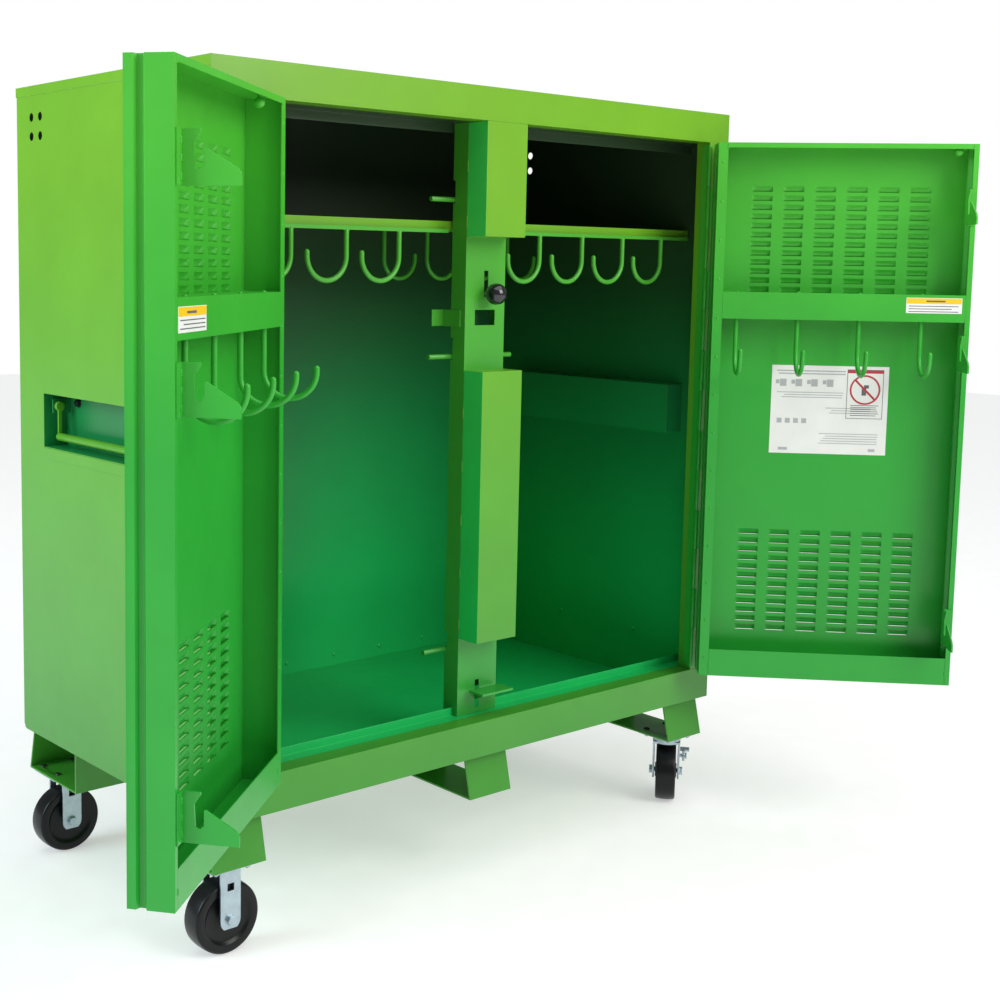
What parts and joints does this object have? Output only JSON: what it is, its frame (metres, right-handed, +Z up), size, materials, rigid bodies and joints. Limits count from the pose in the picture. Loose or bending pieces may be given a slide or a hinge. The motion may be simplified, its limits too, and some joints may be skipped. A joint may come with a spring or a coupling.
{
  "type": "jobsite storage cabinet",
  "caption": "Tall steel jobsite storage cabinet with two folded louvred doors, shelves, cord hooks, a knob and pedal latch, side handles and casters.",
  "frame": {"origin": "on the floor, under the middle of the cabinet body", "axes": "+X to the right along the width as seen from the doors, +Y from the doors to the back, +Z up"},
  "size_m": [2.2876, 1.3662, 1.776],
  "materials": {
    "green_body": "semi-gloss powder coat",
    "green_door": "semi-gloss powder coat",
    "green_hooks": "semi-gloss powder coat",
    "green_latch": "semi-gloss powder coat",
    "green_handle": "semi-gloss powder coat",
    "green_hinge": "semi-gloss powder coat",
    "green_feet": "semi-gloss powder coat",
    "green_shelf": "semi-gloss powder coat",
    "zinc_caster": "bright zinc plating",
    "zinc_brake": "bright zinc plating",
    "knob_stem": "zinc plating",
    "knob": "gloss",
    "wheel": "moulded phenolic, satin",
    "label": "satin vinyl",
    "sheet": "satin vinyl"
  },
  "bodies": {
    "cabinet": {"left_side_panel": "green_body", "right_side_panel": "green_body", "back_panel": "green_body", "floor_pan": "green_body", "roof_pan": "green_body", "front_header": "green_body", "front_sill": "green_body", "left_stile": "green_body", "right_stile": "green_body", "centre_post": "green_body", "upper_post_cover": "green_body", "lower_post_cover": "green_body", "left_shelf": "green_shelf", "right_shelf": "green_shelf", "left_shelf_hooks": "green_hooks", "right_shelf_hooks": "green_hooks", "left_handle_pocket": "green_body", "right_handle_pocket": "green_body", "front_left_foot": "green_feet", "front_right_foot": "green_feet", "rear_left_foot": "green_feet", "rear_right_foot": "green_feet", "mid_feet": "green_feet", "body_hinges": "green_hinge", "rigid_forks": "zinc_caster", "swivel_plates": "zinc_caster", "caster_bolts": "zinc_caster"},
    "left_door": {"left_door_skin": "green_door", "left_door_frame": "green_door", "left_door_channel": "green_door", "left_door_hooks": "green_hooks", "left_latch_brackets": "green_latch", "left_door_hinge": "green_hinge", "left_door_label": "label"},
    "right_door": {"right_door_skin": "green_door", "right_door_frame": "green_door", "right_door_channel": "green_door", "right_door_hooks": "green_hooks", "right_latch_brackets": "green_latch", "right_door_hinge": "green_hinge", "right_door_label": "label", "instruction_sheet": "sheet"},
    "latch": {"latch_bar": "green_latch", "latch_pins": "green_latch", "knob_stem": "knob_stem", "ball_knob": "knob"},
    "pedal": {"foot_pedal": "green_latch"},
    "left_bail": {"left_handle": "green_handle"},
    "right_bail": {"right_handle": "green_handle"},
    "front_left_wheel": {"front_left_wheel": "wheel"},
    "rear_left_wheel": {"rear_left_wheel": "wheel"},
    "front_right_wheel": {"front_right_wheel": "wheel"},
    "rear_right_wheel": {"rear_right_wheel": "wheel"},
    "front_caster": {"front_swivel_fork": "zinc_caster"},
    "rear_caster": {"rear_swivel_fork": "zinc_caster"},
    "front_brake": {"front_brake_lever": "zinc_brake"},
    "rear_brake": {"rear_brake_lever": "zinc_brake"}
  },
  "joints": [
    {"name": "left_door_hinge", "type": "hinge", "parent": "cabinet", "child": "left_door", "pos_m": [-0.686, -0.41, 1.04], "axis": [0, 0, 1], "range_deg": [-34, 141]},
    {"name": "right_door_hinge", "type": "hinge", "parent": "cabinet", "child": "right_door", "pos_m": [0.686, -0.41, 1.04], "axis": [0, 0, 1], "range_deg": [-134.5, 40]},
    {"name": "latch_slide", "type": "slide", "parent": "cabinet", "child": "latch", "axis": [0, 0, 1], "range_m": [0, 0.033]},
    {"name": "pedal_hinge", "type": "hinge", "parent": "cabinet", "child": "pedal", "pos_m": [0, -0.318, 0.434], "axis": [1, 0, 0], "range_deg": [0, 30]},
    {"name": "left_handle_hinge", "type": "hinge", "parent": "cabinet", "child": "left_bail", "pos_m": [-0.735, -0.001, 1.066], "axis": [0, 1, 0], "range_deg": [0, 95]},
    {"name": "right_handle_hinge", "type": "hinge", "parent": "cabinet", "child": "right_bail", "pos_m": [0.735, -0.001, 1.066], "axis": [0, -1, 0], "range_deg": [0, 95]},
    {"name": "front_left_wheel_spin", "type": "hinge", "parent": "cabinet", "child": "front_left_wheel", "pos_m": [-0.69, -0.338, 0.076], "axis": [0, 1, 0], "continuous": true},
    {"name": "rear_left_wheel_spin", "type": "hinge", "parent": "cabinet", "child": "rear_left_wheel", "pos_m": [-0.69, 0.338, 0.076], "axis": [0, 1, 0], "continuous": true},
    {"name": "front_caster_swivel", "type": "hinge", "parent": "cabinet", "child": "front_caster", "pos_m": [0.69, -0.338, 0.172], "axis": [0, 0, 1], "continuous": true},
    {"name": "rear_caster_swivel", "type": "hinge", "parent": "cabinet", "child": "rear_caster", "pos_m": [0.69, 0.338, 0.172], "axis": [0, 0, 1], "continuous": true},
    {"name": "front_right_wheel_spin", "type": "hinge", "parent": "front_caster", "child": "front_right_wheel", "pos_m": [0.71936, -0.31388, 0.076], "axis": [-0.6347, 0.7727, 0], "continuous": true},
    {"name": "rear_right_wheel_spin", "type": "hinge", "parent": "rear_caster", "child": "rear_right_wheel", "pos_m": [0.72471, 0.32254, 0.076], "axis": [0.4067, 0.9135, 0], "continuous": true},
    {"name": "front_brake_hinge", "type": "hinge", "parent": "front_caster", "child": "front_brake", "pos_m": [0.74793, -0.34865, 0.118], "axis": [-0.6347, 0.7727, 0], "range_deg": [0, 25]},
    {"name": "rear_brake_hinge", "type": "hinge", "parent": "rear_caster", "child": "rear_brake", "pos_m": [0.70641, 0.28143, 0.118], "axis": [0.4067, 0.9135, 0], "range_deg": [0, 25]}
  ],
  "couplings": [
    {"joint": "pedal_hinge", "follows": "latch_slide", "rad_per_m": 15.8}
  ]
}
